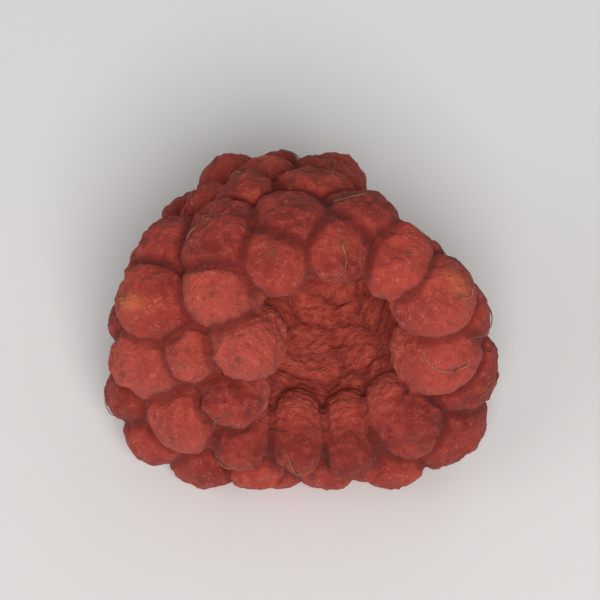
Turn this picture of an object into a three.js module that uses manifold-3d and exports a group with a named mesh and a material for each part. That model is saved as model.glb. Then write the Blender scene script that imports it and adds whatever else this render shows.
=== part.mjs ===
// A freeze-dried raspberry, picked off its core: drupelets packed round a thimble-shaped hollow.
// Millimetres, +Z up. The berry lies on its flattened underside, with its open mouth facing -Y and
// its tip towards +Y. The origin is on the surface it lies on, under the middle of its outline.

import * as THREE from "three";
import { mergeVertices } from "three/addons/utils/BufferGeometryUtils.js";
import Module from "manifold-3d";

// Driving dimensions. The body is the smooth skin through the drupelets' crests, centred where it is
// widest, with a straight axis along Y until the berry is bent and laid down.
const BODY_HALF_WIDTH = 9.7;
const BODY_HALF_HEIGHT = 8.4;
const BODY_FRONT = 5.3; // from its widest place to the mouth
const BODY_BACK = 13.4; // from its widest place to the tip
const BACK_ROUNDNESS = 2; // exponents of the blunt cone behind the widest place
const BACK_TAPER = 1.25;
const TOP_ROUNDNESS = 2; // exponents of the cross-section: round above, squarer below
const UNDERSIDE_ROUNDNESS = 3;
const CORE_INSET = 1.6; // the flesh that joins the drupelets lies this far below their crests
const CORE_DENT_SHARE = 0.55; // how much of the dent reaches that flesh

const MOUTH = { x: 1.7, z: 1.2, halfWidth: 3.9, halfHeight: 4.3 };
const HOLLOW = { x: 1.0, z: 1.2, halfWidth: 4.9, halfHeight: 4.8, depth: 12.5 };
const DENT = { x: 6.7, y: 5.4, z: 4.0, radius: 5.8, depth: 2.2 }; // pressed in behind one shoulder

const DRUPELET_WIDTH = 3.7;
const DRUPELET_LENGTH = 4.6; // from crest to foot, through the wall
const DRUPELET_OVERLAP = 1.18; // a drupelet's full width over the room that it takes
const WIDTH_SPREAD = 0.13;
const SINK_SPREAD = 0.32;
const TIP_SHRINK = 0.2; // the drupelets at the tip are this much narrower
const FOOT_IN_HOLLOW = 0.3; // a drupelet's foot shows this far inside the hollow
const RIM_WIDTH = 0.85; // the drupelets that aren't listed stay this many widths away from the mouth

// The drupelets round the mouth and over the shoulders: where their crests are on the front of the
// skin, how wide each is, and how far it is sunk in.
const FRONT_DRUPELETS = [
  { x: -8.2, z: 3.7, width: 3.8, sunk: -0.2 },
  { x: -8.5, z: 0.0, width: 3.8, sunk: -0.1 },
  { x: -6.4, z: -3.3, width: 3.7, sunk: 0.1 },
  { x: -3.1, z: -4.6, width: 2.9, sunk: 0.0 },
  { x: -0.3, z: -5.1, width: 2.8, sunk: 0.1 },
  { x: 2.6, z: -5.4, width: 2.9, sunk: 0.1 },
  { x: 5.8, z: -4.0, width: 3.5, sunk: 0.1 },
  { x: 8.0, z: 0.3, width: 3.8, sunk: 0.0 },
  { x: 7.5, z: 4.0, width: 3.7, sunk: -0.2 },
  { x: 5.2, z: 6.4, width: 3.3, sunk: 0.1 },
  { x: 2.0, z: 7.3, width: 3.1, sunk: 0.2 },
  { x: -1.3, z: 7.0, width: 3.2, sunk: 0.2 },
  { x: -4.3, z: 5.2, width: 3.5, sunk: 0.0 },
  { x: -3.0, z: 2.3, width: 3.3, sunk: 0.0 },
  { x: -5.8, z: 1.4, width: 2.9, sunk: 0.3 },
  { x: -3.8, z: -1.4, width: 2.9, sunk: 0.3 },
];

// How the other drupelets are packed over the rest of the skin.
const PACKING = {
  seed: 11,
  starts: 92, // places spread evenly over the whole skin
  startGap: 0.62, // of a drupelet's width, from a start to the nearest listed drupelet
  steps: 90, // of pushing each other apart
  push: 0.3, // the share of an overlap that one step takes away
  press: 1.04, // how far apart they try to be, over the room that they take
  squeezed: 0.8, // halfway, those closer than this to another are left out
};

const BEND_START = 2.3; // from here to the tip, the berry bends towards -X
const TIP_BEND = 2; // how far the tip is out of line

const REST_TILT_DEG = 17; // the tip half leans down, so that the underside lies flat
const FLAT_SHAVE = 0.5; // how far the lowest drupelets are pressed flat

// How a drupelet's ball is divided: sides round its axis, and rings by their angle from the crest.
const BALL_SIDES = 11;
const BALL_RINGS_DEG = [0, 24, 48, 70, 94, 128, 180];

const CORE_SIDES = 28;
const CORE_RINGS = 20;
const HOLLOW_SIDES = 20;
const HOLLOW_RINGS = 16;
const GROUND_SIZE = 60; // the block that presses the underside flat
const FAR_OUT = 50; // times the distance of any point from the body's centre: well outside the skin
const HALVINGS = 40; // to find the skin between the centre and there
const MERGE_TOLERANCE = 1e-5;

const BERRY_COLOUR = 0xa8443c;

const wasm = await Module();
wasm.setup();

// A repeatable draw between 0 and 1.
function seededDraw(seed) {
  let state = seed;
  return () => {
    state = (state * 1664525 + 1013904223) % 4294967296;
    return state / 4294967296;
  };
}

// 0 on the body's axis and 1 on its widest outline.
function acrossBody(p, inset = 0) {
  const power = p.z < 0 ? UNDERSIDE_ROUNDNESS : TOP_ROUNDNESS;
  const side = Math.abs(p.x / (BODY_HALF_WIDTH - inset)) ** power;
  const up = Math.abs(p.z / (BODY_HALF_HEIGHT - inset)) ** power;
  return (side + up) ** (1 / power);
}

// Above 0 outside the body's skin and below 0 inside it. inset shrinks the skin on every side.
function bodyLevel(p, inset = 0) {
  const across = acrossBody(p, inset);
  if (p.y < 0) return across ** 2 + (p.y / (BODY_FRONT - inset)) ** 2 - 1;
  return across ** BACK_ROUNDNESS + (p.y / (BODY_BACK - inset)) ** BACK_TAPER - 1;
}

// The point of the skin in the direction of p from the body's centre.
function ontoBody(p, inset = 0) {
  let low = 0;
  let high = FAR_OUT;
  for (let i = 0; i < HALVINGS; i++) {
    const scale = (low + high) / 2;
    if (bodyLevel(p.clone().multiplyScalar(scale), inset) > 0) high = scale;
    else low = scale;
  }
  return p.clone().multiplyScalar(low);
}

// The skin's outward direction at p.
function bodyNormal(p) {
  const step = 1e-3;
  const slope = (axis) => {
    const ahead = p.clone();
    const behind = p.clone();
    ahead[axis] += step;
    behind[axis] -= step;
    return bodyLevel(ahead) - bodyLevel(behind);
  };
  return new THREE.Vector3(slope("x"), slope("y"), slope("z")).normalize();
}

// How far the dent presses the skin in at p.
function dentAt(p) {
  const away = p.distanceTo(new THREE.Vector3(DENT.x, DENT.y, DENT.z)) / DENT.radius;
  return DENT.depth * Math.max(0, 1 - away ** 2);
}

// The skin's front point at x, z.
function frontPoint(x, z) {
  const across = acrossBody({ x, z });
  return new THREE.Vector3(x, -BODY_FRONT * Math.sqrt(Math.max(0, 1 - across ** 2)), z);
}

// The room that a drupelet takes on the skin.
const room = (d) => d.width * (1 - TIP_SHRINK * Math.max(0, d.crest.y / BODY_BACK));

// Moves a crest that has slid in among the drupelets of the mouth's rim back out.
function keepOffRim(crest) {
  if (crest.y > 0) return;
  const reach = DRUPELET_WIDTH * RIM_WIDTH;
  const dx = (crest.x - MOUTH.x) / (MOUTH.halfWidth + reach);
  const dz = (crest.z - MOUTH.z) / (MOUTH.halfHeight + reach);
  const away = Math.hypot(dx, dz);
  if (away >= 1) return;
  crest.x = MOUTH.x + (dx / away) * (MOUTH.halfWidth + reach);
  crest.z = MOUTH.z + (dz / away) * (MOUTH.halfHeight + reach);
}

// The listed drupelets, and the others where they start.
function startDrupelets(draw) {
  const listed = FRONT_DRUPELETS.map((d) => ({ ...d, crest: frontPoint(d.x, d.z), listed: true }));
  const others = [];
  const turn = Math.PI * (3 - Math.sqrt(5));
  for (let i = 0; i < PACKING.starts; i++) {
    const along = 1 - (2 * (i + 0.5)) / PACKING.starts;
    const ring = Math.sqrt(1 - along ** 2);
    const direction = new THREE.Vector3(ring * Math.cos(i * turn), -along, ring * Math.sin(i * turn));
    const crest = ontoBody(direction);
    const width = DRUPELET_WIDTH * (1 + WIDTH_SPREAD * (2 * draw() - 1));
    const sunk = SINK_SPREAD * (2 * draw() - 1);
    const fromMouth = Math.hypot(crest.x - MOUTH.x, crest.z - MOUTH.z);
    const inMouth = crest.y < 0 && fromMouth < MOUTH.halfWidth;
    const taken = listed.some((d) => d.crest.distanceTo(crest) < PACKING.startGap * DRUPELET_WIDTH);
    if (!inMouth && !taken) others.push({ width, sunk, crest });
  }
  return [...listed, ...others];
}

// Leaves out the drupelets that are squeezed between others.
function thinOut(drupelets) {
  const kept = [...drupelets];
  for (const d of drupelets.filter((each) => !each.listed)) {
    const squeezedBy = (other) => {
      const wanted = (PACKING.squeezed * (d.width + other.width)) / 2;
      return other !== d && d.crest.distanceTo(other.crest) < wanted;
    };
    if (kept.some(squeezedBy)) kept.splice(kept.indexOf(d), 1);
  }
  return kept;
}

// Where the others push a drupelet in one step.
function pushOn(d, drupelets) {
  const push = new THREE.Vector3();
  for (const other of drupelets) {
    const gap = d.crest.clone().sub(other.crest);
    const distance = gap.length();
    const wanted = (PACKING.press * (room(d) + room(other))) / 2;
    if (other === d || distance >= wanted) continue;
    push.addScaledVector(gap, (PACKING.push * (wanted - distance)) / distance);
  }
  return push;
}

// All the drupelets in their places. The listed ones never move.
function packDrupelets(draw) {
  let drupelets = startDrupelets(draw);
  for (let step = 0; step < PACKING.steps; step++) {
    if (step === PACKING.steps / 2) drupelets = thinOut(drupelets);
    const pushes = drupelets.map((d) => pushOn(d, drupelets));
    drupelets.forEach((d, i) => {
      if (d.listed) return;
      d.crest.add(pushes[i]);
      keepOffRim(d.crest);
      d.crest = ontoBody(d.crest);
    });
  }
  return drupelets;
}

// How far along X the bend moves the points at y.
function bendAt(y) {
  const along = Math.max(0, y - BEND_START) / (BODY_BACK - BEND_START);
  return -TIP_BEND * along ** 2;
}

// Bends a geometry of the straight body.
function bend(geometry) {
  const position = geometry.attributes.position;
  for (let i = 0; i < position.count; i++) {
    position.setX(i, position.getX(i) + bendAt(position.getY(i)));
  }
  return geometry;
}

const hollowCentre = new THREE.Vector3(HOLLOW.x, -BODY_FRONT, HOLLOW.z);
const hollowSize = new THREE.Vector3(HOLLOW.halfWidth, HOLLOW.depth, HOLLOW.halfHeight);

// How far it is from a crest, straight in, to the wall of the hollow, or Infinity where the line misses it.
function wallThickness(crest, inward) {
  const from = crest.clone().sub(hollowCentre).divide(hollowSize);
  const along = inward.clone().divide(hollowSize);
  const a = along.dot(along);
  const b = from.dot(along);
  const c = from.dot(from) - 1;
  const root = b * b - a * c;
  if (root < 0 || c < 0 || b > 0) return Infinity;
  return (-b - Math.sqrt(root)) / a;
}

// A closed geometry as a solid that can be joined and cut.
function solidFrom(geometry) {
  const bare = geometry.clone();
  bare.deleteAttribute("normal");
  bare.deleteAttribute("uv");
  const merged = mergeVertices(bare, MERGE_TOLERANCE);
  return new wasm.Manifold(
    new wasm.Mesh({
      numProp: 3,
      vertProperties: new Float32Array(merged.attributes.position.array),
      triVerts: new Uint32Array(merged.index.array),
    }),
  );
}

function geometryFrom(solid) {
  const mesh = solid.getMesh();
  const geometry = new THREE.BufferGeometry();
  geometry.setAttribute("position", new THREE.BufferAttribute(new Float32Array(mesh.vertProperties), 3));
  geometry.setIndex(new THREE.BufferAttribute(new Uint32Array(mesh.triVerts), 1));
  return geometry;
}

// A ball of radius 1 with its crest at +Y, divided finely towards the crest and coarsely towards the foot.
function ball() {
  const profile = BALL_RINGS_DEG.map((degrees) => {
    const angle = THREE.MathUtils.degToRad(degrees);
    return new THREE.Vector2(Math.sin(angle), Math.cos(angle));
  });
  return new THREE.LatheGeometry(profile.reverse(), BALL_SIDES);
}

// One drupelet: a ball stretched along its own axis, from its crest to its foot in the hollow.
function drupelet(d) {
  const outward = bodyNormal(d.crest);
  const sunk = d.sunk + dentAt(d.crest);
  const crest = d.crest.clone().addScaledVector(outward, -sunk);
  const wall = wallThickness(crest, outward.clone().negate());
  const length = Math.min(DRUPELET_LENGTH, wall + FOOT_IN_HOLLOW);
  const halfWidth = (room(d) * DRUPELET_OVERLAP) / 2;
  const geometry = ball().scale(halfWidth, length / 2, halfWidth);
  geometry.applyQuaternion(new THREE.Quaternion().setFromUnitVectors(new THREE.Vector3(0, 1, 0), outward));
  const centre = crest.addScaledVector(outward, -length / 2);
  return geometry.translate(centre.x + bendAt(centre.y), centre.y, centre.z);
}

// The flesh that joins the drupelets: the body's shape, shrunk.
function core() {
  const geometry = new THREE.SphereGeometry(1, CORE_SIDES, CORE_RINGS);
  const position = geometry.attributes.position;
  for (let i = 0; i < position.count; i++) {
    const direction = new THREE.Vector3().fromBufferAttribute(position, i);
    const skin = ontoBody(direction);
    const placed = ontoBody(direction, CORE_INSET);
    placed.addScaledVector(bodyNormal(skin), -CORE_DENT_SHARE * dentAt(skin));
    position.setXYZ(i, placed.x, placed.y, placed.z);
  }
  return bend(geometry);
}

// The hollow that the picked berry leaves: a thimble, open at the mouth.
function hollow() {
  const geometry = new THREE.SphereGeometry(1, HOLLOW_SIDES, HOLLOW_RINGS);
  geometry.rotateX(Math.PI / 2);
  geometry.scale(hollowSize.x, hollowSize.y, hollowSize.z);
  geometry.translate(hollowCentre.x, hollowCentre.y, hollowCentre.z);
  return bend(geometry);
}

// Everything below the surface that the berry lies on.
function ground(top) {
  return new THREE.BoxGeometry(GROUND_SIZE, GROUND_SIZE, GROUND_SIZE).translate(0, 0, top - GROUND_SIZE / 2);
}

// The whole berry, laid down on its underside.
function berryGeometry() {
  const draw = seededDraw(PACKING.seed);
  let solid = solidFrom(core()).subtract(solidFrom(hollow()));
  for (const d of packDrupelets(draw)) solid = solid.add(solidFrom(drupelet(d)));
  solid = solid.rotate([-REST_TILT_DEG, 0, 0]);
  const lowest = solid.boundingBox().min[2];
  solid = solid.subtract(solidFrom(ground(lowest + FLAT_SHAVE)));
  const geometry = geometryFrom(solid);
  geometry.computeBoundingBox();
  const { min, max } = geometry.boundingBox;
  return geometry.translate(-(min.x + max.x) / 2, -(min.y + max.y) / 2, -min.z);
}

const raspberry = new THREE.Mesh(
  berryGeometry(),
  new THREE.MeshStandardMaterial({ color: BERRY_COLOUR, roughness: 0.85, metalness: 0 }),
);
raspberry.name = "raspberry";

const group = new THREE.Group();
group.add(raspberry);

export default group;
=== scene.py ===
"""A freeze-dried raspberry on a pale floor.

The berry's drupelets are packed as they are in the CAD part. Their union is worked out as a field,
turned into one fine mesh, and given the dents, wrinkles, seeds and scars of dried fruit.
"""

import math

import bpy
import numpy as np
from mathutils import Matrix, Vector
from mathutils.bvhtree import BVHTree

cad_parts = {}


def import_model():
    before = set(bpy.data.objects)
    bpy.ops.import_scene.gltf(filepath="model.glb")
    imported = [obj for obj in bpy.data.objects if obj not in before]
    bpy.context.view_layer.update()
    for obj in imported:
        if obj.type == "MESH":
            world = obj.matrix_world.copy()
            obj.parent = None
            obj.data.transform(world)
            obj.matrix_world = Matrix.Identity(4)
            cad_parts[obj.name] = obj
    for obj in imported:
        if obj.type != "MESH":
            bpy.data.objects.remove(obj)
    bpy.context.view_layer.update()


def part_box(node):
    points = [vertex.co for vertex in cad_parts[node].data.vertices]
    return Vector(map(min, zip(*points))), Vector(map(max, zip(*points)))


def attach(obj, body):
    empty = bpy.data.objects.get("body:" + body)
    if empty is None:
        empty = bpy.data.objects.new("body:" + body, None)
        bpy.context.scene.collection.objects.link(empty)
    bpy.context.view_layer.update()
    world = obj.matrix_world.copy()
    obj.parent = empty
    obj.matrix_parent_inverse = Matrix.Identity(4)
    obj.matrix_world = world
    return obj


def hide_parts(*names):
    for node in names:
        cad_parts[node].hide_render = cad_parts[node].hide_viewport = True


MM = 0.001

# ---------------------------------------------------------------- the CAD part's dimensions, in mm

BODY_HALF_WIDTH = 9.7
BODY_HALF_HEIGHT = 8.4
BODY_FRONT = 5.3
BODY_BACK = 13.4
BACK_ROUNDNESS = 2.0
BACK_TAPER = 1.25
TOP_ROUNDNESS = 2.0
UNDERSIDE_ROUNDNESS = 3.0
CORE_INSET = 1.6
CORE_DENT_SHARE = 0.55

MOUTH_CENTRE = (1.7, 1.2)  # x, z
MOUTH_HALF = (3.9, 4.3)
HOLLOW_CENTRE = (1.0, -BODY_FRONT, 1.2)
HOLLOW_HALF = (4.9, 12.5, 4.8)
DENT_CENTRE = (6.7, 5.4, 4.0)
DENT_RADIUS = 5.8
DENT_DEPTH = 2.2

DRUPELET_WIDTH = 3.7
DRUPELET_LENGTH = 4.6
DRUPELET_OVERLAP = 1.18
WIDTH_SPREAD = 0.13
SINK_SPREAD = 0.32
TIP_SHRINK = 0.2
FOOT_IN_HOLLOW = 0.3
RIM_WIDTH = 0.85

# x, z, width and how far it is sunk in, for the drupelets round the mouth and over the shoulders
FRONT_DRUPELETS = [
    (-8.2, 3.7, 3.8, -0.2),
    (-8.5, 0.0, 3.8, -0.1),
    (-6.4, -3.3, 3.7, 0.1),
    (-3.1, -4.6, 2.9, 0.0),
    (-0.3, -5.1, 2.8, 0.1),
    (2.6, -5.4, 2.9, 0.1),
    (5.8, -4.0, 3.5, 0.1),
    (8.0, 0.3, 3.8, 0.0),
    (7.5, 4.0, 3.7, -0.2),
    (5.2, 6.4, 3.3, 0.1),
    (2.0, 7.3, 3.1, 0.2),
    (-1.3, 7.0, 3.2, 0.2),
    (-4.3, 5.2, 3.5, 0.0),
    (-3.0, 2.3, 3.3, 0.0),
    (-5.8, 1.4, 2.9, 0.3),
    (-3.8, -1.4, 2.9, 0.3),
]

PACKING_SEED = 11
PACKING_STARTS = 92
PACKING_STEPS = 90
PACKING_PRESS = 1.04
PACKING_PUSH = 0.3
START_GAP = 0.62
SQUEEZED = 0.8

BEND_START = 2.3
TIP_BEND = 2.0
REST_TILT_DEG = 17.0
FLAT_SHAVE = 0.5

# ---------------------------------------------------------------- the look, with its lengths in mm

VOXEL = 0.1
CREASE_BLEND = 0.12  # how softly one drupelet's skin runs into the next
GRID_MARGIN = 0.35
FLESH_TRIANGLES = 195000
LINING_STARTS = 1.5  # below the skin through the crests, on the way into the hollow

# How light each listed drupelet is: 0 is deep red, 1 is light red and above that it is pale. Those of
# the others are drawn, between 0 and 1. The listed values are partly each drupelet's own colour and
# partly
# painted light: the lower lip's drupelets (3 to 6) are darker as painted shade, and the lit lobes
# round the mouth are lighter as painted light.
LISTED_TONES_AND_PAINTED_LIGHT = {
    0: 0.9,
    1: 1.3,
    2: 1.2,
    3: -0.4,
    4: -0.9,
    5: -0.9,
    6: -0.6,
    7: 1.1,
    8: 1.15,
    9: 1.0,
    12: 1.3,
    13: 1.35,
    14: 1.2,
}
SEEDS_SHOW_ON = (0, 8)  # of the listed ones: at the left shoulder and at the mouth's upper right

RELIEF_SEED = 5
UNEVEN_HEIGHT = 0.32
UNEVEN_SINK = 0.08
FOLD_HEIGHT = 0.22
FINE_FOLD_HEIGHT = 0.1
RIDGE_LEVEL = 0.45  # squared ridges above this push the skin out, and below it they draw it in
PIT_DEPTH = 0.06
CREASE_DEPTH = 0.1
FALLEN_DEPTH = 0.42  # the most that a crest has fallen in
SEED_BULGE = 0.16  # the most that a seed pushes the skin out
FAINT_SEED_BULGE = 0.09  # the same where the seed isn't to show
SEED_HALF_LENGTH = 0.85
SEED_HALF_WIDTH = 0.45
SCAR_RADIUS = 0.17
SCAR_DEPTH = 0.1
RING_RADIUS = 0.34
RING_WIDTH = 0.12
RING_HEIGHT = 0.035
FIBRE_HEIGHT = 0.11
FIBRE_STRETCH = 0.3  # how fast the fibres change along the hollow, to how fast across it
CELL_EDGE_DEPTH = 0.16  # where the feet of two drupelets meet in the wall of the hollow

STYLE_SEED = 23
STYLE_COUNT = 26
STYLE_RADIUS = 0.036
STYLE_END_SHARE = 0.45  # of that radius, at a style's loose end
STYLE_LENGTHS = (1.4, 3.4)
STYLE_LIFTS = (0.04, 0.16)
STYLE_SIDES = 6
STYLE_STEPS = 18
LOWEST_STYLE_AXIS = -0.35  # drupelets that point further down carry no style


# ---------------------------------------------------------------- packing the drupelets


def seeded_draw(seed):
    """A repeatable draw between 0 and 1, the same one as the CAD part's."""
    state = seed
    while True:
        state = (state * 1664525 + 1013904223) % 4294967296
        yield state / 4294967296


def across_body(x, z, inset=0.0):
    """0 on the body's axis and 1 on its widest outline."""
    power = np.where(z < 0, UNDERSIDE_ROUNDNESS, TOP_ROUNDNESS)
    side = np.abs(x / (BODY_HALF_WIDTH - inset)) ** power
    up = np.abs(z / (BODY_HALF_HEIGHT - inset)) ** power
    return (side + up) ** (1 / power)


def body_level(p, inset=0.0):
    """Above 0 outside the body's skin and below 0 inside it."""
    x, y, z = p[..., 0], p[..., 1], p[..., 2]
    across = across_body(x, z, inset)
    front = across**2 + (y / (BODY_FRONT - inset)) ** 2 - 1
    back = across**BACK_ROUNDNESS + (np.maximum(y, 0) / (BODY_BACK - inset)) ** BACK_TAPER - 1
    return np.where(y < 0, front, back)


def onto_body(p):
    """The points of the skin in the directions of p from the body's centre."""
    low = np.zeros(len(p))
    high = np.full(len(p), 50.0)
    for _ in range(40):
        scale = (low + high) / 2
        outside = body_level(p * scale[:, None]) > 0
        high = np.where(outside, scale, high)
        low = np.where(outside, low, scale)
    return p * low[:, None]


def body_normal(p):
    """The skin's outward directions at p."""
    step = 1e-3
    slopes = [body_level(p + step * axis) - body_level(p - step * axis) for axis in np.eye(3)]
    return unit(np.stack(slopes, axis=1))


def unit(v):
    return v / np.linalg.norm(v, axis=-1, keepdims=True)


def front_points(x, z):
    """The points at x and z on the front half of the skin."""
    across = across_body(x, z)
    y = -BODY_FRONT * np.sqrt(np.maximum(0, 1 - across**2))
    return np.stack([x, y, z], axis=1)


def room(width, crest):
    """The room that each drupelet takes on the skin."""
    return width * (1 - TIP_SHRINK * np.maximum(0, crest[:, 1] / BODY_BACK))


def keep_off_rim(crest):
    """Moves the crests that have slid in among the drupelets of the mouth's rim back out."""
    reach = DRUPELET_WIDTH * RIM_WIDTH
    dx = (crest[:, 0] - MOUTH_CENTRE[0]) / (MOUTH_HALF[0] + reach)
    dz = (crest[:, 2] - MOUTH_CENTRE[1]) / (MOUTH_HALF[1] + reach)
    away = np.hypot(dx, dz)
    slid = (crest[:, 1] <= 0) & (away < 1)
    moved = crest.copy()
    moved[slid, 0] = MOUTH_CENTRE[0] + (dx / away)[slid] * (MOUTH_HALF[0] + reach)
    moved[slid, 2] = MOUTH_CENTRE[1] + (dz / away)[slid] * (MOUTH_HALF[1] + reach)
    return moved


def start_drupelets():
    """Crests, widths and sinks of the listed drupelets, and of others spread evenly over the rest."""
    draw = seeded_draw(PACKING_SEED)
    listed = np.array(FRONT_DRUPELETS)
    listed_crest = front_points(listed[:, 0], listed[:, 1])
    crest = list(listed_crest)
    width = list(listed[:, 2])
    sunk = list(listed[:, 3])
    turn = math.pi * (3 - math.sqrt(5))
    for i in range(PACKING_STARTS):
        along = 1 - 2 * (i + 0.5) / PACKING_STARTS
        ring = math.sqrt(1 - along**2)
        direction = np.array([[ring * math.cos(i * turn), -along, ring * math.sin(i * turn)]])
        start = onto_body(direction)[0]
        start_width = DRUPELET_WIDTH * (1 + WIDTH_SPREAD * (2 * next(draw) - 1))
        start_sunk = SINK_SPREAD * (2 * next(draw) - 1)
        from_mouth = math.hypot(start[0] - MOUTH_CENTRE[0], start[2] - MOUTH_CENTRE[1])
        in_mouth = start[1] < 0 and from_mouth < MOUTH_HALF[0]
        nearest = np.linalg.norm(listed_crest - start, axis=1).min()
        if not in_mouth and nearest >= START_GAP * DRUPELET_WIDTH:
            crest.append(start)
            width.append(start_width)
            sunk.append(start_sunk)
    return np.array(crest), np.array(width), np.array(sunk)


def thin_out(crest, width):
    """Which drupelets stay when those that are squeezed between others are left out."""
    kept = np.ones(len(crest), bool)
    for i in range(len(FRONT_DRUPELETS), len(crest)):
        distance = np.linalg.norm(crest - crest[i], axis=1)
        distance[i] = np.inf
        squeezed = distance < SQUEEZED * (width + width[i]) / 2
        if (squeezed & kept).any():
            kept[i] = False
    return kept


def pushes(crest, width):
    """Where the others push each drupelet in one step."""
    gap = crest[:, None] - crest[None]
    distance = np.linalg.norm(gap, axis=2)
    np.fill_diagonal(distance, np.inf)
    size = room(width, crest)
    wanted = PACKING_PRESS * (size[:, None] + size[None]) / 2
    push = np.where(distance < wanted, PACKING_PUSH * (wanted - distance) / distance, 0)
    return (push[..., None] * gap).sum(axis=1)


def pack_drupelets():
    """Crests, widths and sinks of all drupelets, pushed apart until they are packed."""
    crest, width, sunk = start_drupelets()
    first_free = len(FRONT_DRUPELETS)
    for step in range(PACKING_STEPS):
        if step == PACKING_STEPS // 2:
            kept = thin_out(crest, width)
            crest, width, sunk = crest[kept], width[kept], sunk[kept]
        moved = onto_body(keep_off_rim(crest + pushes(crest, width)))
        crest[first_free:] = moved[first_free:]
    return crest, width, sunk


def dent_at(p):
    """How far the berry has fallen in at p, where its outline has a step."""
    away = np.linalg.norm(p - np.array(DENT_CENTRE), axis=-1) / DENT_RADIUS
    return DENT_DEPTH * np.maximum(0, 1 - away**2)


def wall_thickness(crest, inward):
    """How far it is from each crest, straight in, to the wall of the hollow."""
    start = (crest - np.array(HOLLOW_CENTRE)) / np.array(HOLLOW_HALF)
    along = inward / np.array(HOLLOW_HALF)
    a = (along * along).sum(axis=1)
    b = (start * along).sum(axis=1)
    c = (start * start).sum(axis=1) - 1
    root = b * b - a * c
    missed = (root < 0) | (c < 0) | (b > 0)
    return np.where(missed, np.inf, (-b - np.sqrt(np.maximum(root, 0))) / a)


def bend_at(y):
    """How far along X the bend moves the points at y."""
    along = np.maximum(0, y - BEND_START) / (BODY_BACK - BEND_START)
    return -TIP_BEND * along**2


def rest_rotation():
    """Turns the body so that its tip half leans down."""
    tilt = math.radians(-REST_TILT_DEG)
    cos, sin = math.cos(tilt), math.sin(tilt)
    return np.array([[1, 0, 0], [0, cos, -sin], [0, sin, cos]])


class Berry:
    """The drupelets as the berry lies at rest: ellipsoids, each stretched along its own axis."""

    def __init__(self, cad_low, cad_high):
        crest, width, sunk = pack_drupelets()
        outward = body_normal(crest)
        top = crest - outward * (sunk + dent_at(crest))[:, None]
        length = np.minimum(DRUPELET_LENGTH, wall_thickness(top, -outward) + FOOT_IN_HOLLOW)
        centre = top - outward * length[:, None] / 2
        centre[:, 0] += bend_at(centre[:, 1])
        turn = rest_rotation()
        self.turn = turn
        self.half_width = room(width, crest) * DRUPELET_OVERLAP / 2
        self.half_length = length / 2
        self.axis = outward @ turn.T
        self.centre = centre @ turn.T
        self.count = len(crest)
        reach = self.reach()
        low = (self.centre - reach).min(axis=0)
        high = (self.centre + reach).max(axis=0)
        self.shift = (cad_low + cad_high) / 2 - (low + high) / 2
        self.shift[2] = -(low[2] + FLAT_SHAVE)
        self.centre = self.centre + self.shift
        self.side, self.other_side = self.sides()

    def reach(self):
        """Half the size of each drupelet's box."""
        along = self.axis**2
        across = 1 - along
        return np.sqrt(self.half_width[:, None] ** 2 * across + self.half_length[:, None] ** 2 * along)

    def sides(self):
        """Two directions square to each drupelet's axis."""
        helper = np.where(np.abs(self.axis[:, 2:3]) > 0.9, [[1.0, 0.0, 0.0]], [[0.0, 0.0, 1.0]])
        side = unit(np.cross(helper, self.axis))
        return side, np.cross(self.axis, side)

    def to_body(self, p):
        """Points at rest, back in the straight body's own axes."""
        q = (p - self.shift) @ self.turn
        q[..., 0] -= bend_at(q[..., 1])
        return q

    def drupelet_distance(self, i, p):
        """Nearly the distance from p to drupelet i's skin, below 0 inside it."""
        q = p - self.centre[i]
        along = q @ self.axis[i]
        across = np.sqrt(np.maximum((q * q).sum(axis=-1) - along**2, 0))
        near = np.hypot(across / self.half_width[i], along / self.half_length[i])
        slope = np.hypot(across / self.half_width[i] ** 2, along / self.half_length[i] ** 2)
        return near * (near - 1) / np.maximum(slope, 1e-6)

    def hollow_distance(self, p):
        """Nearly the distance from p to the wall of the hollow, below 0 inside it."""
        q = (self.to_body(p) - np.array(HOLLOW_CENTRE)) / np.array(HOLLOW_HALF)
        near = np.linalg.norm(q, axis=-1)
        slope = np.linalg.norm(q / np.array(HOLLOW_HALF), axis=-1)
        return near * (near - 1) / np.maximum(slope, 1e-6)

    def core_distance(self, p):
        """The flesh that joins the drupelets, opened by the hollow."""
        q = self.to_body(p)
        level = body_level(q, CORE_INSET)
        slope = np.linalg.norm(np.stack(np.gradient(level, VOXEL)), axis=0)
        flesh = level / np.maximum(slope, 1e-3) + CORE_DENT_SHARE * dent_at(q)
        return np.maximum(flesh, -self.hollow_distance(p))


# ---------------------------------------------------------------- from field to mesh


def smooth_union(a, b, blend):
    """The union of two distance fields, with a soft crease of that width where they meet."""
    near = np.maximum(blend - np.abs(a - b), 0) / blend
    return np.minimum(a, b) - near**2 * blend / 4


def berry_field(berry, low, shape):
    """The distance field of the whole berry on a grid."""
    ticks = [low[k] + VOXEL * np.arange(shape[k]) for k in range(3)]
    grid = np.stack(np.meshgrid(*ticks, indexing="ij"), axis=-1)
    field = berry.core_distance(grid)
    reach = berry.reach() + 4 * CREASE_BLEND
    for i in range(berry.count):
        first = np.maximum(((berry.centre[i] - reach[i] - low) / VOXEL).astype(int), 0)
        last = ((berry.centre[i] + reach[i] - low) / VOXEL).astype(int) + 2
        part = tuple(slice(first[k], last[k]) for k in range(3))
        field[part] = smooth_union(field[part], berry.drupelet_distance(i, grid[part]), CREASE_BLEND)
    return np.maximum(field, -grid[..., 2])


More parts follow.
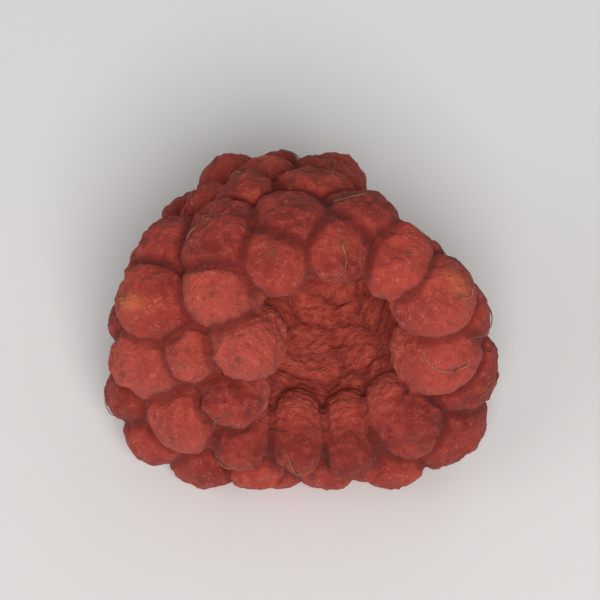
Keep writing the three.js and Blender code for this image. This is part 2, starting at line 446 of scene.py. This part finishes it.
def surface_nets(field, low):
    """The field's zero surface, as vertices and quads."""
    inside = field < 0
    nx, ny, nz = field.shape
    corners = [(i, j, k) for i in (0, 1) for j in (0, 1) for k in (0, 1)]
    count = np.zeros((nx - 1, ny - 1, nz - 1), np.int8)
    for i, j, k in corners:
        count += inside[i : nx - 1 + i, j : ny - 1 + j, k : nz - 1 + k]
    active = (count > 0) & (count < len(corners))
    number = np.full(active.shape, -1, np.int64)
    number[active] = np.arange(active.sum())
    cells = np.argwhere(active)
    total = np.zeros((len(cells), 3))
    crossings = np.zeros(len(cells))
    for axis in range(3):
        along = np.eye(3, dtype=int)[axis]
        for corner in corners:
            if corner[axis] == 1:
                continue
            start = cells + np.array(corner)
            end = start + along
            a = field[tuple(start.T)]
            b = field[tuple(end.T)]
            crosses = (a < 0) != (b < 0)
            share = np.where(crosses, a / np.where(crosses, a - b, 1), 0)
            total += crosses[:, None] * (np.array(corner) + share[:, None] * along)
            crossings += crosses
    vertices = low + VOXEL * (cells + total / crossings[:, None])
    return vertices, net_faces(inside, number)


def net_faces(inside, number):
    """One quad for each grid edge that crosses the surface, through the four cells round it."""
    quads = []
    for axis in range(3):
        u, v = (axis + 1) % 3, (axis + 2) % 3
        along = np.eye(3, dtype=int)
        interior = [slice(1, -1)] * 3
        ahead = list(interior)
        ahead[axis] = slice(2, None)
        starts = inside[tuple(interior)]
        ends = inside[tuple(ahead)]
        for leaving in (True, False):
            edges = np.argwhere((starts != ends) & (starts == leaving)) + 1
            around = [edges - along[u] - along[v], edges - along[v], edges, edges - along[u]]
            ring = np.stack([number[tuple(cell.T)] for cell in around], axis=1)
            quads.append(ring if leaving else ring[:, ::-1])
    return np.concatenate(quads)


def smoothed(vertices, quads, share, rounds):
    """Draws each vertex towards the middle of its neighbours."""
    edges = np.concatenate([quads[:, [k, (k + 1) % 4]] for k in range(4)])
    for _ in range(rounds):
        total = np.zeros_like(vertices)
        number = np.zeros(len(vertices))
        for a, b in ((0, 1), (1, 0)):
            for k in range(3):
                total[:, k] += np.bincount(edges[:, a], vertices[edges[:, b], k], len(vertices))
            number += np.bincount(edges[:, a], minlength=len(vertices))
        vertices = vertices + share * (total / number[:, None] - vertices)
    return vertices


def vertex_normals(vertices, quads):
    """The surface's outward direction at each vertex."""
    diagonal = vertices[quads[:, 2]] - vertices[quads[:, 0]]
    other = vertices[quads[:, 3]] - vertices[quads[:, 1]]
    face = np.cross(diagonal, other)
    normals = np.zeros_like(vertices)
    for k in range(4):
        for axis in range(3):
            normals[:, axis] += np.bincount(quads[:, k], face[:, axis], len(vertices))
    return unit(normals)


# ---------------------------------------------------------------- relief


class Noise:
    """Smooth repeatable noise between 0 and 1, from a lattice of random values."""

    SIZE = 32

    def __init__(self, seed):
        self.lattice = np.random.default_rng(seed).random((self.SIZE,) * 3)

    def at(self, p, wavelength):
        q = p / wavelength + 100.0
        cell = np.floor(q).astype(int)
        t = q - cell
        t = t * t * (3 - 2 * t)
        value = 0
        for i in (0, 1):
            for j in (0, 1):
                for k in (0, 1):
                    weight = np.where(i, t[..., 0], 1 - t[..., 0])
                    weight = weight * np.where(j, t[..., 1], 1 - t[..., 1])
                    weight = weight * np.where(k, t[..., 2], 1 - t[..., 2])
                    corner = (cell + np.array([i, j, k])) % self.SIZE
                    x, y, z = corner[..., 0], corner[..., 1], corner[..., 2]
                    value = value + weight * self.lattice[x, y, z]
        return value


def smoothstep(value, start, end):
    """0 up to start, 1 from end on, and a soft step between them."""
    t = np.clip((value - start) / (end - start), 0, 1)
    return t * t * (3 - 2 * t)


def ridged(noise, p, wavelength):
    """Sharp ridges with soft valleys between them, from 0 to 1."""
    return 1 - np.abs(2 * noise.at(p, wavelength) - 1)


class Skin:
    """The berry's fine mesh, and what each vertex belongs to."""

    def __init__(self, berry, cad_low, cad_high):
        low = cad_low - GRID_MARGIN
        shape = np.ceil((cad_high - cad_low + 2 * GRID_MARGIN) / VOXEL).astype(int) + 1
        field = berry_field(berry, low, shape)
        vertices, self.quads = surface_nets(field, low)
        self.vertices = smoothed(vertices, self.quads, share=0.5, rounds=2)
        self.berry = berry
        self.noise = Noise(RELIEF_SEED)
        self.read_drupelets()

    def read_drupelets(self):
        """Each vertex's drupelet, its place on it, and how near it is to a crease and the hollow."""
        berry, p = self.berry, self.vertices
        distance = np.stack([berry.drupelet_distance(i, p) for i in range(berry.count)])
        order = np.argpartition(distance, 1, axis=0)
        self.owner = order[0]
        vertex = np.arange(len(p))
        gap = distance[order[1], vertex] - distance[order[0], vertex]
        ragged = self.noise.at(p, 0.8) - 0.5
        from_skin = body_level(berry.to_body(p), LINING_STARTS) + 0.35 * ragged
        self.hollow = 1 - smoothstep(berry.hollow_distance(p) + 0.5 * ragged, 0.0, 0.6)
        self.hollow *= 1 - smoothstep(from_skin, -0.5, 0.1)
        self.crease = (1 - smoothstep(gap, 0.03, 0.42)) * (1 - self.hollow)
        self.cell_edge = (1 - smoothstep(gap, 0.0, 0.45)) * self.hollow
        crest = berry.centre + berry.axis * berry.half_length[:, None]
        from_crest = p - crest[self.owner]
        self.below_crest = -(from_crest * berry.axis[self.owner]).sum(axis=1)
        self.place = np.stack(
            [
                (from_crest * berry.side[self.owner]).sum(axis=1),
                (from_crest * berry.other_side[self.owner]).sum(axis=1),
            ],
            axis=1,
        )
        self.outer = (1 - self.hollow) * (1 - smoothstep(self.below_crest, 1.2, 2.4))

    def add_relief(self):
        """Moves the skin in and out, and notes each vertex's tone, seed and scar; the tone holds
        painted shade and light on the listed drupelets.
        """
        rng = np.random.default_rng(RELIEF_SEED)
        normals = vertex_normals(self.vertices, self.quads)
        height = self.wrinkles(rng) + self.dimples(rng) + self.seeds(rng) + self.scars()
        height += self.lining() - CREASE_DEPTH * self.crease
        self.vertices = self.vertices + normals * height[:, None]
        tone = rng.random(self.berry.count)
        # The listed tones paint shade on the lower lip's drupelets and light on the lit lobes.
        tone[list(LISTED_TONES_AND_PAINTED_LIGHT)] = list(LISTED_TONES_AND_PAINTED_LIGHT.values())
        self.tone = tone[self.owner]

    def wrinkles(self, rng):
        """The shrunken skin's folds and pits, sharper on some drupelets than on others."""
        p, noise = self.vertices, self.noise
        shrivel = rng.uniform(0.35, 1.0, self.berry.count)[self.owner]
        warp = np.stack([noise.at(p + 17.0 * k, 1.4) - 0.5 for k in range(3)], axis=1)
        uneven = UNEVEN_HEIGHT * (noise.at(p, 1.9) - 0.5) - UNEVEN_SINK
        ridges = ridged(noise, p + 1.2 * warp, 1.0) ** 2 - RIDGE_LEVEL
        folds = FOLD_HEIGHT * ridges * shrivel
        fine_ridges = ridged(noise, p + 0.6 * warp + 7.3, 0.45) ** 2 - RIDGE_LEVEL
        fine_folds = FINE_FOLD_HEIGHT * fine_ridges * (0.5 + 0.5 * shrivel)
        pits = -PIT_DEPTH * smoothstep(noise.at(p + 3.1, 0.32), 0.64, 0.85)
        return (uneven + folds) * (1 - 0.6 * self.hollow) + fine_folds + pits

    def dimples(self, rng):
        """Some drupelets have fallen in."""
        count = self.berry.count
        place = rng.normal(0, 0.45, (count, 2))[self.owner]
        depth = np.clip(rng.normal(0.1, 0.2, count), 0, FALLEN_DEPTH)[self.owner]
        radius = rng.uniform(0.5, 0.9, count)[self.owner]
        away = np.linalg.norm(self.place - place, axis=1) / radius
        return -depth * np.exp(-(away**2)) * self.outer

    def seeds(self, rng):
        """Here and there a seed pushes the skin out from inside."""
        count = self.berry.count
        angle = rng.uniform(0, math.pi, count)
        lengthways = np.stack([np.cos(angle), np.sin(angle)], axis=1)[self.owner]
        sideways = np.stack([-lengthways[:, 1], lengthways[:, 0]], axis=1)
        from_seed = self.place - rng.normal(0, 0.3, (count, 2))[self.owner]
        along = (from_seed * lengthways).sum(axis=1) / SEED_HALF_LENGTH
        across = (from_seed * sideways).sum(axis=1) / SEED_HALF_WIDTH
        bulge = np.clip(rng.normal(-0.04, 0.1, count), 0, FAINT_SEED_BULGE)
        bulge[list(SEEDS_SHOW_ON)] = SEED_BULGE
        shape = np.exp(-((along**2 + across**2) ** 1.5)) * self.outer
        self.seed = shape * bulge[self.owner] / SEED_BULGE
        return shape * bulge[self.owner]

    def scars(self):
        """The scar that the style leaves at each drupelet's crest, in a low ring."""
        away = np.linalg.norm(self.place, axis=1)
        self.scar = np.exp(-((away / SCAR_RADIUS) ** 2)) * self.outer
        ring = np.exp(-(((away - RING_RADIUS) / RING_WIDTH) ** 2)) * self.outer
        return RING_HEIGHT * ring - SCAR_DEPTH * self.scar

    def lining(self):
        """Fibres along the hollow, and a low cushion at each drupelet's foot."""
        along = self.berry.to_body(self.vertices) * np.array([1.0, FIBRE_STRETCH, 1.0])
        fibres = FIBRE_HEIGHT * (ridged(self.noise, along, 0.55) - 0.5)
        return (fibres - CELL_EDGE_DEPTH * self.cell_edge) * self.hollow


# ---------------------------------------------------------------- pieces


def make_mesh(name, vertices, faces, attributes):
    """An object of vertices in mm, with a value of each attribute at each vertex."""
    mesh = bpy.data.meshes.new(name)
    mesh.from_pydata((vertices * MM).tolist(), [], [tuple(face) for face in faces])
    for key, values in attributes.items():
        layer = mesh.attributes.new(key, "FLOAT", "POINT")
        layer.data.foreach_set("value", np.asarray(values, np.float32))
    mesh.shade_smooth()
    piece = bpy.data.objects.new(name, mesh)
    bpy.context.scene.collection.objects.link(piece)
    return piece


def merge_faces(piece, triangles):
    """Merges faces where the surface is flattest, until about that many triangles are left."""
    decimate = piece.modifiers.new("fewer faces", "DECIMATE")
    decimate.ratio = triangles / sum(len(face.vertices) - 2 for face in piece.data.polygons)
    graph = bpy.context.evaluated_depsgraph_get()
    fewer = bpy.data.meshes.new_from_object(piece.evaluated_get(graph))
    piece.modifiers.clear()
    piece.data = fewer


def keep_in_box(piece, low, high):
    """Moves the vertices that stick out of the CAD part's box onto it."""
    count = len(piece.data.vertices)
    places = np.empty(3 * count, np.float32)
    piece.data.vertices.foreach_get("co", places)
    places = np.clip(places.reshape(-1, 3), low * MM, high * MM)
    piece.data.vertices.foreach_set("co", places.astype(np.float32).ravel())
    piece.data.update()


def make_flesh(skin, low, high):
    """The skin as a mesh, with what its material reads at each vertex."""
    attributes = {
        "tone": skin.tone,
        # crease also marks where the material paints shade between drupelets.
        "crease": skin.crease,
        "hollow": skin.hollow,
        "cell_edge": skin.cell_edge,
        "seed": skin.seed,
        "scar": skin.scar,
        # Painted shade: how far down its drupelet's side each vertex lies; the material darkens it
        # there.
        "side": smoothstep(skin.below_crest, 0.2, 2.2),
    }
    flesh = make_mesh("flesh", skin.vertices, skin.quads, attributes)
    merge_faces(flesh, FLESH_TRIANGLES)
    keep_in_box(flesh, low, high)
    return flesh


def style_path(rng, surface, start, heading, length):
    """A dried style's middle line: it leaves its scar, arches a little and lies down on the skin."""
    points = []
    place = Vector(start)
    turn = rng.normal(0, 0.08)
    lift = rng.uniform(*STYLE_LIFTS)
    for step in range(STYLE_STEPS + 1):
        share = step / STYLE_STEPS
        on_skin, normal, _, _ = surface.find_nearest(place)
        height = STYLE_RADIUS * 0.6 + lift * math.sin(math.pi * share) * (1 - 0.5 * share)
        points.append(on_skin + normal * height)
        heading = heading - normal * heading.dot(normal)
        heading.normalize()
        heading = heading + normal.cross(heading) * (turn + rng.normal(0, 0.06))
        heading.normalize()
        place = on_skin + heading * (length / STYLE_STEPS)
    path = np.array(points)
    for _ in range(3):
        path[1:-1] = (path[:-2] + 2 * path[1:-1] + path[2:]) / 4
    return path


def tube(path, radii):
    """Vertices and faces of a closed tube along a path."""
    ahead = unit(np.gradient(path, axis=0))
    helper = np.array([0.31, 0.52, 0.79])  # a direction that the paths don't run in
    side = unit(np.cross(ahead, helper))
    up = np.cross(ahead, side)
    angle = 2 * math.pi * np.arange(STYLE_SIDES) / STYLE_SIDES
    ring = np.cos(angle)[None, :, None] * side[:, None] + np.sin(angle)[None, :, None] * up[:, None]
    vertices = (path[:, None] + radii[:, None, None] * ring).reshape(-1, 3)
    faces = []
    for i in range(len(path) - 1):
        for k in range(STYLE_SIDES):
            a = i * STYLE_SIDES + k
            b = i * STYLE_SIDES + (k + 1) % STYLE_SIDES
            faces.append((a, b, b + STYLE_SIDES, a + STYLE_SIDES))
    last = (len(path) - 1) * STYLE_SIDES
    faces.append(tuple(reversed(range(STYLE_SIDES))))
    faces.append(tuple(range(last, last + STYLE_SIDES)))
    return vertices, faces


def make_styles(skin, low, high):
    """The dried brown threads that are left on some drupelets."""
    rng = np.random.default_rng(STYLE_SEED)
    berry = skin.berry
    surface = BVHTree.FromPolygons(skin.vertices.tolist(), skin.quads.tolist())
    outside = np.flatnonzero(berry.axis[:, 2] > LOWEST_STYLE_AXIS)
    chosen = rng.choice(outside, STYLE_COUNT, replace=False)
    vertices, faces = [], []
    for i in chosen:
        start = berry.centre[i] + berry.axis[i] * berry.half_length[i]
        angle = rng.uniform(0, 2 * math.pi)
        heading = Vector(berry.side[i] * math.cos(angle) + berry.other_side[i] * math.sin(angle))
        path = style_path(rng, surface, start, heading, rng.uniform(*STYLE_LENGTHS))
        radii = STYLE_RADIUS * np.linspace(1.0, STYLE_END_SHARE, len(path))
        style_vertices, style_faces = tube(path, radii)
        first = sum(len(part) for part in vertices)
        vertices.append(style_vertices)
        faces += [tuple(first + k for k in face) for face in style_faces]
    styles = make_mesh("styles", np.concatenate(vertices), faces, {})
    keep_in_box(styles, low, high)
    return styles


# ---------------------------------------------------------------- materials


class Graph:
    """A few short words for building a node material."""

    def __init__(self, name):
        self.material = bpy.data.materials.new(name)
        self.material.use_nodes = True
        self.nodes = self.material.node_tree.nodes
        self.links = self.material.node_tree.links
        self.shader = self.nodes["Principled BSDF"]

    def put(self, value, socket):
        """Links the value to the socket, or sets it there."""
        if isinstance(value, bpy.types.NodeSocket):
            self.links.new(value, socket)
        else:
            socket.default_value = value

    def attribute(self, name):
        node = self.nodes.new("ShaderNodeAttribute")
        node.attribute_name = name
        return node.outputs["Fac"]

    def noise(self, size, detail):
        """Noise with features of about that size, in metres."""
        place = self.nodes.new("ShaderNodeTexCoord")
        node = self.nodes.new("ShaderNodeTexNoise")
        self.links.new(place.outputs["Object"], node.inputs["Vector"])
        node.inputs["Scale"].default_value = 1 / size
        node.inputs["Detail"].default_value = detail
        node.inputs["Roughness"].default_value = NOISE_ROUGHNESS
        return node.outputs["Fac"]

    def math(self, operation, a, b):
        node = self.nodes.new("ShaderNodeMath")
        node.operation = operation
        self.put(a, node.inputs[0])
        self.put(b, node.inputs[1])
        return node.outputs[0]

    def spread(self, value, low, high, to_low=0.0, to_high=1.0):
        """Stretches low..high to to_low..to_high."""
        node = self.nodes.new("ShaderNodeMapRange")
        for socket, number in zip(node.inputs[:5], (value, low, high, to_low, to_high)):
            self.put(number, socket)
        return node.outputs[0]

    def mix(self, share, a, b):
        """Colour a, with that share of colour b."""
        node = self.nodes.new("ShaderNodeMix")
        node.data_type = "RGBA"
        self.put(share, node.inputs["Factor"])
        for colour, socket in ((a, node.inputs[6]), (b, node.inputs[7])):
            self.put(colour if isinstance(colour, bpy.types.NodeSocket) else (*colour, 1.0), socket)
        return node.outputs[2]

    def bump(self, height, distance, normal=None):
        node = self.nodes.new("ShaderNodeBump")
        node.inputs["Distance"].default_value = distance
        self.put(height, node.inputs["Height"])
        if normal is not None:
            self.links.new(normal, node.inputs["Normal"])
        return node.outputs["Normal"]

    def finish(self, **inputs):
        """Sets the shader's own inputs; in their names, underscores stand for spaces."""
        for key, value in inputs.items():
            self.put(value, self.shader.inputs[key.replace("_", " ")])
        return self.material


NOISE_ROUGHNESS = 0.55

DEEP_RED = (0.20, 0.022, 0.016)
LIGHT_RED = (0.41, 0.052, 0.034)
PALE_RED = (0.46, 0.085, 0.058)
# Painted shade: the sides of each drupelet and the valleys of its folds are darkened towards this red.
PAINTED_SHADE_RED = (0.17, 0.016, 0.012)
# Painted shade: the creases between drupelets are darkened towards this red.
PAINTED_CREASE_SHADE = (0.075, 0.006, 0.005)
DUST_PINK = (0.54, 0.155, 0.11)
LINING_RED = (0.43, 0.053, 0.034)
LINING_PINK = (0.57, 0.104, 0.066)
SEED_ORANGE = (0.55, 0.13, 0.045)
SCAR_BROWN = (0.16, 0.055, 0.025)
STYLE_TAN = (0.34, 0.17, 0.08)
STYLE_BROWN = (0.12, 0.035, 0.018)
FLOOR_GREY = (0.80, 0.79, 0.78)
FLOOR_WHITE = (0.84, 0.83, 0.82)


def flesh_material():
    g = Graph("dried_flesh")
    crease = g.attribute("crease")
    hollow = g.attribute("hollow")
    blotches = g.noise(1.9 * MM, detail=3.0)
    mottle = g.noise(0.5 * MM, detail=4.0)
    grain = g.noise(0.13 * MM, detail=3.0)
    folds = g.noise(0.32 * MM, detail=3.0)

    own_tone_and_painted_light = g.attribute("tone")
    # Each drupelet's tone, with painted shade and light on the listed ones, plus blotches
    tone = g.math("ADD", g.spread(own_tone_and_painted_light, -1, 1, -0.75, 0.25), g.spread(blotches, 0.32, 0.68))
    colour = g.mix(tone, DEEP_RED, LIGHT_RED)
    colour = g.mix(g.spread(own_tone_and_painted_light, 1.0, 1.5, to_high=0.6), colour, PALE_RED)
    colour = g.mix(g.spread(mottle, 0.42, 0.7, to_high=0.45), colour, LIGHT_RED)
    # Painted shade: darker in the valleys of the bumped folds.
    colour = g.mix(g.spread(folds, 0.3, 0.5, to_low=0.32, to_high=0.0), colour, PAINTED_SHADE_RED)
    # Painted shade: darker down each drupelet's sides, towards the creases.
    colour = g.mix(g.spread(g.attribute("side"), 0, 1, to_high=0.34), colour, PAINTED_SHADE_RED)
    colour = g.mix(g.math("MULTIPLY", g.attribute("seed"), 0.6), colour, SEED_ORANGE)
    # Painted shade in the creases between drupelets.
    colour = g.mix(g.spread(crease, 0.2, 1.0, to_high=0.55), colour, PAINTED_CREASE_SHADE)

    lining = g.mix(g.spread(folds, 0.35, 0.65), LINING_RED, LINING_PINK)
    # Painted shade: darker along the grooves where the drupelets' feet meet in the hollow.
    lining = g.mix(g.spread(g.attribute("cell_edge"), 0, 1, to_high=0.5), lining, DEEP_RED)
    colour = g.mix(g.math("MULTIPLY", hollow, 0.9), colour, lining)

    off_crease = g.spread(crease, 0, 0.6, to_low=1, to_high=0)
    dusty = g.math("MULTIPLY", g.spread(mottle, 0.45, 0.62), off_crease)
    specks = g.math("MULTIPLY", dusty, g.spread(grain, 0.5, 0.68))
    specks = g.math("MULTIPLY", specks, g.spread(own_tone_and_painted_light, -1, 1, 0.25, 0.75))
    colour = g.mix(specks, colour, DUST_PINK)
    colour = g.mix(g.math("MULTIPLY", g.attribute("scar"), 0.8), colour, SCAR_BROWN)

    normal = g.bump(folds, 0.18 * MM)
    normal = g.bump(grain, 0.07 * MM, normal=normal)
    return g.finish(
        Base_Color=colour,
        Roughness=g.spread(grain, 0.3, 0.7, 0.72, 0.95),
        Normal=normal,
        Subsurface_Weight=0.06,
        Subsurface_Radius=(1.0, 0.25, 0.15),
        Subsurface_Scale=0.3 * MM,
        Sheen_Weight=0.05,
        Sheen_Roughness=0.5,
        Specular_IOR_Level=0.2,
    )


def style_material():
    g = Graph("dried_style")
    bands = g.noise(0.7 * MM, detail=2.0)
    colour = g.mix(g.spread(bands, 0.35, 0.65), STYLE_BROWN, STYLE_TAN)
    normal = g.bump(g.noise(0.06 * MM, detail=2.0), 0.012 * MM)
    return g.finish(Base_Color=colour, Roughness=0.7, Normal=normal)


def floor_material():
    g = Graph("floor")
    mottle = g.noise(40 * MM, detail=2.0)
    return g.finish(Base_Color=g.mix(mottle, FLOOR_GREY, FLOOR_WHITE), Roughness=0.9)


# ---------------------------------------------------------------- floor, light and camera

CAMERA_AZIMUTH_DEG = -1.0
CAMERA_ELEVATION_DEG = 52.0
CAMERA_AIM = (0.0, -1.2, 0.0)  # in mm, from the box's centre to the middle of what the camera sees
CAMERA_DISTANCE = 0.30  # in metres, as the sizes and distances of the floor and the lights
CAMERA_LENS_MM = 372.0
SENSOR_MM = 36.0

FLOOR_HALF = 1.5
LIGHT_DISTANCE = 0.5
LIGHTS = [
    # name, azimuth and elevation in degrees, size in metres and power in watts
    ("key", 4, 42, 0.22, 1.98),
    ("fill", -60, 35, 0.40, 0.35),
    ("rim", 160, 40, 0.30, 0.10),
]
SKY_COLOUR = (1.0, 0.985, 0.97, 1.0)
SKY_STRENGTH = 0.27


def direction_from(azimuth_deg, elevation_deg):
    """The way from the berry towards a place seen at that azimuth and elevation."""
    a, e = math.radians(azimuth_deg), math.radians(elevation_deg)
    return Vector((math.sin(a) * math.cos(e), -math.cos(a) * math.cos(e), math.sin(e)))


def aim(thing, target):
    thing.rotation_euler = (target - thing.location).to_track_quat("-Z", "Y").to_euler()


def make_floor():
    mesh = bpy.data.meshes.new("floor")
    signs = ((-1, -1), (1, -1), (1, 1), (-1, 1))
    corners = [(x * FLOOR_HALF, y * FLOOR_HALF, 0) for x, y in signs]
    mesh.from_pydata(corners, [], [(0, 1, 2, 3)])
    floor = bpy.data.objects.new("floor", mesh)
    bpy.context.scene.collection.objects.link(floor)
    floor.data.materials.append(floor_material())


def add_light(target, name, azimuth_deg, elevation_deg, size, power):
    light = bpy.data.lights.new(name, "AREA")
    light.shape = "DISK"
    light.size = size
    light.energy = power
    lamp = bpy.data.objects.new(name, light)
    lamp.location = target + direction_from(azimuth_deg, elevation_deg) * LIGHT_DISTANCE
    bpy.context.scene.collection.objects.link(lamp)
    aim(lamp, target)


def light_scene(target):
    world = bpy.data.worlds.new("studio")
    world.use_nodes = True
    background = world.node_tree.nodes["Background"]
    background.inputs["Color"].default_value = SKY_COLOUR
    background.inputs["Strength"].default_value = SKY_STRENGTH
    bpy.context.scene.world = world
    for light in LIGHTS:
        add_light(target, *light)


def add_camera(target):
    data = bpy.data.cameras.new("camera")
    data.sensor_width = SENSOR_MM
    data.lens = CAMERA_LENS_MM
    data.clip_start = 0.01
    camera = bpy.data.objects.new("camera", data)
    towards_camera = direction_from(CAMERA_AZIMUTH_DEG, CAMERA_ELEVATION_DEG)
    camera.location = target + towards_camera * CAMERA_DISTANCE
    bpy.context.scene.collection.objects.link(camera)
    aim(camera, target)
    bpy.context.scene.camera = camera


# ---------------------------------------------------------------- the scene


def main():
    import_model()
    cad_low, cad_high = (np.array(corner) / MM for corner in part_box("raspberry"))
    berry = Berry(cad_low, cad_high)
    skin = Skin(berry, cad_low, cad_high)
    skin.add_relief()

    flesh = make_flesh(skin, cad_low, cad_high)
    flesh.data.materials.append(flesh_material())
    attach(flesh, "root")
    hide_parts("raspberry")

    styles = make_styles(skin, cad_low, cad_high)
    styles.data.materials.append(style_material())
    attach(styles, "root")

    centre = Vector((cad_low + cad_high) / 2 * MM)
    make_floor()
    light_scene(centre)
    add_camera(centre + Vector(CAMERA_AIM) * MM)
    bpy.context.scene.view_settings.view_transform = "Standard"


main()
